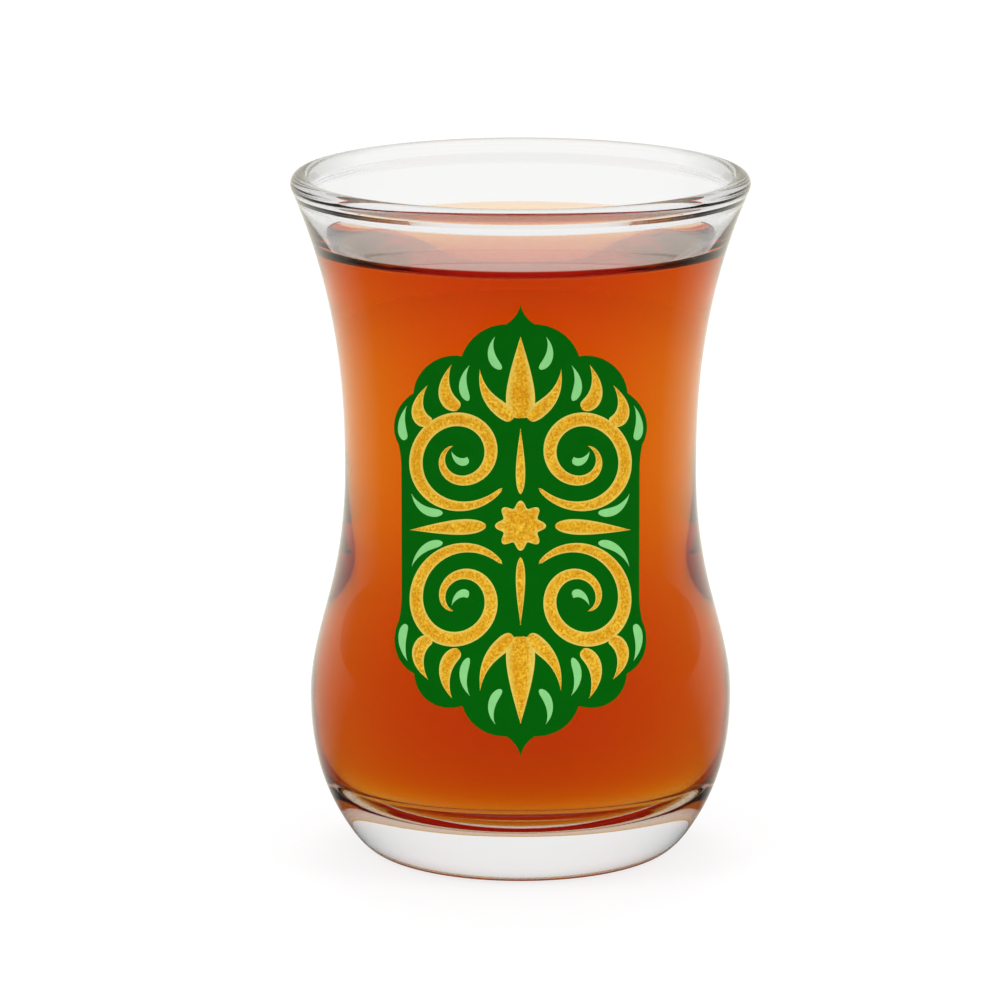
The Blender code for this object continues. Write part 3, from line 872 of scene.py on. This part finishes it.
def panel_outline():
    """Lobed outline of the whole panel on the sheet, one quarter mirrored into the other three."""
    layout = bpy.context.scene.tea_glass_print
    cell = layout.half_width / GRID_COLUMNS
    middle = sheet_middle()
    quarter = [on_sheet(PANEL_TIP)]
    for corner, bulge in PANEL_SIDES:
        quarter += arc(quarter[-1], on_sheet(corner), bulge * cell)
    right = quarter + [Vector((p.x, p.y, 2 * middle.z - p.z)) for p in reversed(quarter)]
    return right + [Vector((-p.x, p.y, p.z)) for p in reversed(right[1:-1])]


def filled_outline(name, outline):
    """Filled circle on the sheet whose points are set along an outline."""
    bpy.ops.object.select_all(action="DESELECT")
    bpy.ops.mesh.primitive_circle_add(vertices=len(outline), radius=1.0 * MM, fill_type="NGON",
                                      location=sheet_middle(), rotation=(math.pi / 2, 0.0, 0.0))
    piece = bpy.context.active_object
    piece.name = name
    piece.data.name = name
    set_origin(piece)
    for vert, place in zip(piece.data.vertices, outline):
        vert.co = place
    return piece


def cut_into_facets(piece, facet):
    """Cut a flat piece across and up, so that it can follow the round glass."""
    outline = [vert.co.copy() for vert in piece.data.vertices]
    work_on(piece)
    bpy.ops.object.mode_set(mode="EDIT")
    for axis, normal in ((0, (1.0, 0.0, 0.0)), (2, (0.0, 0.0, 1.0))):
        low = min(point[axis] for point in outline)
        high = max(point[axis] for point in outline)
        for place in spread(low, high, math.ceil((high - low) / facet))[1:-1]:
            bpy.ops.mesh.select_all(action="SELECT")
            bpy.ops.mesh.bisect(plane_co=[place * share for share in normal], plane_no=normal)
    bpy.ops.mesh.select_all(action="SELECT")
    bpy.ops.mesh.remove_doubles(threshold=MERGE_DISTANCE)
    bpy.ops.object.mode_set(mode="OBJECT")


class PrintGround(bpy.types.Operator):
    """Lay the green ground of the print on the glass"""
    bl_idname = "tea_glass.print_ground"
    bl_label = "Print Green Ground"

    def execute(self, context):
        layout = context.scene.tea_glass_print
        ground = filled_outline("panel_ground_ink", panel_outline())
        cut_into_facets(ground, SHEET_FACET)
        lay_on_glass(ground, layout.ground_lift, 0.0)
        green = context.scene.tea_glass_finishes.green
        finish = fired_enamel("green_enamel", green, shades=(0.9, 1.08), cells=420.0, gloss=0.02,
                              roughness=(0.38, 0.5))
        hand_over(ground, "panel_ground", "green_print", finish)
        return {"FINISHED"}


class PrintGold(bpy.types.Operator):
    """Lay the gold flower, scrolls, stems and leaves on the green"""
    bl_idname = "tea_glass.print_gold"
    bl_label = "Print Gold"

    def execute(self, context):
        layout = context.scene.tea_glass_print
        finish = gold_leaf()
        inks = [(self.flower(layout), "gold_rosette")]
        scroll = draw_stroke("scroll", scroll_line(), layout.scroll_width, layout.scroll_fullness)
        mark_edges(scroll)
        inks += copies(scroll, "gold_scroll", QUARTERS)
        strokes = [(leaf, layout.leaf_width, QUARTERS) for leaf in GOLD_LEAVES]
        strokes.append((CROWN_LEAF, layout.crown_width, UP_AND_DOWN))
        strokes.append((STEM, layout.stem_width, UP_AND_DOWN))
        strokes.append((SIDE_LEAF, layout.leaf_width, BOTH_SIDES))
        for (name, points), half_width, places in strokes:
            leaf = draw_stroke(name, leaf_line(points), half_width)
            mark_edges(leaf)
            inks += copies(leaf, name, places)
        for ink, node in inks:
            lay_on_glass(ink, layout.motif_lift, layout.motif_crest)
            hand_over(ink, node, "gold_print", finish)
        return {"FINISHED"}

    def flower(self, layout):
        """Lobed flower at the middle of the panel."""
        outline = []
        for angle in spread(0.0, math.tau, PETAL_STEPS * layout.rosette_petals)[:-1]:
            reach = layout.rosette_radius + layout.rosette_lobe * math.cos(layout.rosette_petals * angle)
            outline.append(sheet_middle() + Vector((reach * math.cos(angle), 0.0, reach * math.sin(angle))))
        flower = filled_outline("gold_rosette_ink", outline)
        cut_into_facets(flower, FLOWER_FACET)
        mark_edges(flower)
        return flower


class PrintPale(bpy.types.Operator):
    """Lay the pale green sprigs on the green"""
    bl_idname = "tea_glass.print_pale"
    bl_label = "Print Pale Green"

    def execute(self, context):
        layout = context.scene.tea_glass_print
        pale = context.scene.tea_glass_finishes.pale_green
        finish = fired_enamel("pale_enamel", pale, shades=(0.86, 1.06), cells=900.0, gloss=0.15,
                              roughness=(0.4, 0.55))
        for name, points in PALE_SPRIGS:
            sprig = draw_stroke(name, leaf_line(points), layout.sprig_width)
            mark_edges(sprig)
            for ink, node in copies(sprig, name, QUARTERS):
                lay_on_glass(ink, layout.motif_lift, layout.motif_crest)
                hand_over(ink, node, "pale_green_print", finish)
        return {"FINISHED"}


def ray_kinds(tree):
    """Three numbers, 1 for what is seen at all, for what is mirrored and for what shows through glass."""
    path = add_node(tree, "ShaderNodeLightPath")
    seen = path.outputs["Is Camera Ray"]
    for other in ("Is Glossy Ray", "Is Transmission Ray"):
        either = add_node(tree, "ShaderNodeMath", operation="MAXIMUM")
        tree.links.new(seen, either.inputs[0])
        tree.links.new(path.outputs[other], either.inputs[1])
        seen = either.outputs[0]
    kinds = [seen]
    for count in ("Glossy Depth", "Transmission Depth"):
        over = add_node(tree, "ShaderNodeMath", {1: 0.5}, operation="GREATER_THAN")
        tree.links.new(path.outputs[count], over.inputs[0])
        kinds.append(over.outputs[0])
    return kinds


def studio_light(tree, way, brightens, through, stage):
    """Brightness of the mirrored studio by the way it lies in: dark in front, and even inside the glass."""
    turned = add_node(tree, "ShaderNodeVectorMath", operation="NORMALIZE")
    tree.links.new(way, turned.inputs[0])
    split = add_node(tree, "ShaderNodeSeparateXYZ")
    tree.links.new(turned.outputs["Vector"], split.inputs["Vector"])
    outer = remap(tree, split.outputs["Y"], *brightens, stage.front_dark, 1.0)
    return choose(tree, through, outer, 1.0)


def pale_floor(stage):
    """Matt pale table, lifted to white where it is seen, with the shadow kept."""
    looks = bpy.context.scene.tea_glass_finishes
    material, shader = new_finish("pale_floor")
    tree = material.node_tree
    set_values(shader, {"Base Color": opaque(looks.floor), "Roughness": 0.9, "Specular IOR Level": 0.0})
    seen, mirrored, through = ray_kinds(tree)
    place = add_node(tree, "ShaderNodeTexCoord")
    studio = studio_light(tree, place.outputs["Object"], TABLE_BRIGHTENS, through, stage)
    white = add_node(tree, "ShaderNodeEmission")
    outside = choose(tree, through, mirrored, 0.0)
    tree.links.new(blend(tree, outside, WHITE, looks.mirror_tint), white.inputs["Color"])
    tree.links.new(choose(tree, mirrored, stage.floor_white, studio), white.inputs["Strength"])
    lift = times(tree, seen, choose(tree, mirrored, 1.0 - stage.floor_shadow, 1.0))
    mix = add_node(tree, "ShaderNodeMixShader")
    tree.links.new(lift, mix.inputs["Fac"])
    tree.links.new(shader.outputs["BSDF"], mix.inputs[1])
    tree.links.new(white.outputs["Emission"], mix.inputs[2])
    tree.links.new(mix.outputs["Shader"], tree.nodes["Material Output"].inputs["Surface"])
    return material


def studio_world(stage):
    """White all round where it is seen, dark in front where it is mirrored, and soft on matt inks."""
    world = bpy.data.worlds.new("studio")
    bpy.context.scene.world = world
    world.use_nodes = True
    tree = world.node_tree
    ambient = tree.nodes["Background"]
    ambient.inputs["Color"].default_value = opaque(WHITE)
    ambient.inputs["Strength"].default_value = stage.ambient
    seen, mirrored, through = ray_kinds(tree)
    place = add_node(tree, "ShaderNodeTexCoord")
    studio = studio_light(tree, place.outputs["Generated"], AIR_BRIGHTENS, through, stage)
    white = add_node(tree, "ShaderNodeBackground")
    looks = bpy.context.scene.tea_glass_finishes
    outside = choose(tree, through, mirrored, 0.0)
    tree.links.new(blend(tree, outside, WHITE, looks.mirror_tint), white.inputs["Color"])
    tree.links.new(choose(tree, mirrored, 1.0, studio), white.inputs["Strength"])
    mix = add_node(tree, "ShaderNodeMixShader")
    tree.links.new(seen, mix.inputs["Fac"])
    tree.links.new(ambient.outputs["Background"], mix.inputs[1])
    tree.links.new(white.outputs["Background"], mix.inputs[2])
    tree.links.new(mix.outputs["Shader"], tree.nodes["World Output"].inputs["Surface"])


class SetStage(bpy.types.Operator):
    """Set the table, the soft lamps and the camera"""
    bl_idname = "tea_glass.set_stage"
    bl_label = "Set Stage"

    def execute(self, context):
        stage = context.scene.tea_glass_stage
        bpy.ops.object.select_all(action="DESELECT")
        bpy.ops.mesh.primitive_circle_add(vertices=FLOOR_SIDES, radius=stage.floor_radius, fill_type="NGON",
                                          location=(0.0, 0.0, -FLOOR_GAP))
        floor = context.active_object
        floor.name = "table"
        floor.data.materials.append(pale_floor(stage))
        studio_world(stage)
        aim = Vector((0.0, 0.0, stage.aim_height))
        for name, turn, height in LAMPS:
            way = Vector((0.0, -math.cos(math.radians(height)), math.sin(math.radians(height))))
            way.rotate(Euler((0.0, 0.0, math.radians(turn))))
            bpy.ops.object.light_add(type="AREA", location=aim + way * stage.lamp_distance)
            lamp = context.active_object
            lamp.name = name
            lamp.data.energy = stage.lamp_power
            lamp.data.shape = "DISK"
            lamp.data.size = stage.lamp_size
            lamp.visible_glossy = False
            lamp.visible_transmission = False
            lamp.rotation_euler = (-way).to_track_quat("-Z", "Y").to_euler()
        drop = math.atan((stage.camera_height - stage.aim_height) / stage.camera_distance)
        bpy.ops.object.camera_add(location=(0.0, -stage.camera_distance, stage.camera_height),
                                  rotation=(math.pi / 2 - drop, 0.0, 0.0))
        camera = context.active_object
        camera.name = "camera"
        camera.data.sensor_width = SENSOR_WIDTH
        camera.data.lens = stage.focal_length
        camera.data.shift_x = stage.shift_x
        camera.data.shift_y = stage.shift_y
        camera.data.clip_start = CLIP_START
        context.scene.camera = camera
        context.scene.view_settings.view_transform = "Standard"
        context.scene.cycles.max_bounces = 2 * stage.glass_turns
        context.scene.cycles.glossy_bounces = stage.glass_turns
        context.scene.cycles.transmission_bounces = 2 * stage.glass_turns
        return {"FINISHED"}


class TeaGlassPanel(bpy.types.Panel):
    """Sizes, colours and steps of the tea glass"""
    bl_idname = "VIEW3D_PT_tea_glass"
    bl_label = "Tea Glass"
    bl_space_type = "VIEW_3D"
    bl_region_type = "UI"
    bl_category = "Tea Glass"

    def draw(self, context):
        for group, kind in GROUPS.items():
            box = self.layout.box()
            box.label(text=kind.__doc__)
            for key in kind.__annotations__:
                box.prop(getattr(context.scene, group), key)
        for step in STEPS:
            self.layout.operator(step.bl_idname)


GROUPS = {
    "tea_glass_shape": GlassShape,
    "tea_glass_fill": TeaFill,
    "tea_glass_print": PrintLayout,
    "tea_glass_finishes": Finishes,
    "tea_glass_stage": Stage,
}
STEPS = (TurnGlass, PourTea, PrintGround, PrintGold, PrintPale, SetStage)


def register():
    for kind in (*GROUPS.values(), *STEPS, TeaGlassPanel):
        bpy.utils.register_class(kind)
    for group, kind in GROUPS.items():
        setattr(bpy.types.Scene, group, PointerProperty(type=kind))


def unregister():
    for group in GROUPS:
        delattr(bpy.types.Scene, group)
    for kind in (TeaGlassPanel, *reversed(STEPS), *reversed(GROUPS.values())):
        bpy.utils.unregister_class(kind)


def main():
    register()
    bpy.ops.tea_glass.turn_glass()
    bpy.ops.tea_glass.pour_tea()
    bpy.ops.tea_glass.print_ground()
    bpy.ops.tea_glass.print_gold()
    bpy.ops.tea_glass.print_pale()
    bpy.ops.tea_glass.set_stage()


if __name__ == "__main__":
    main()
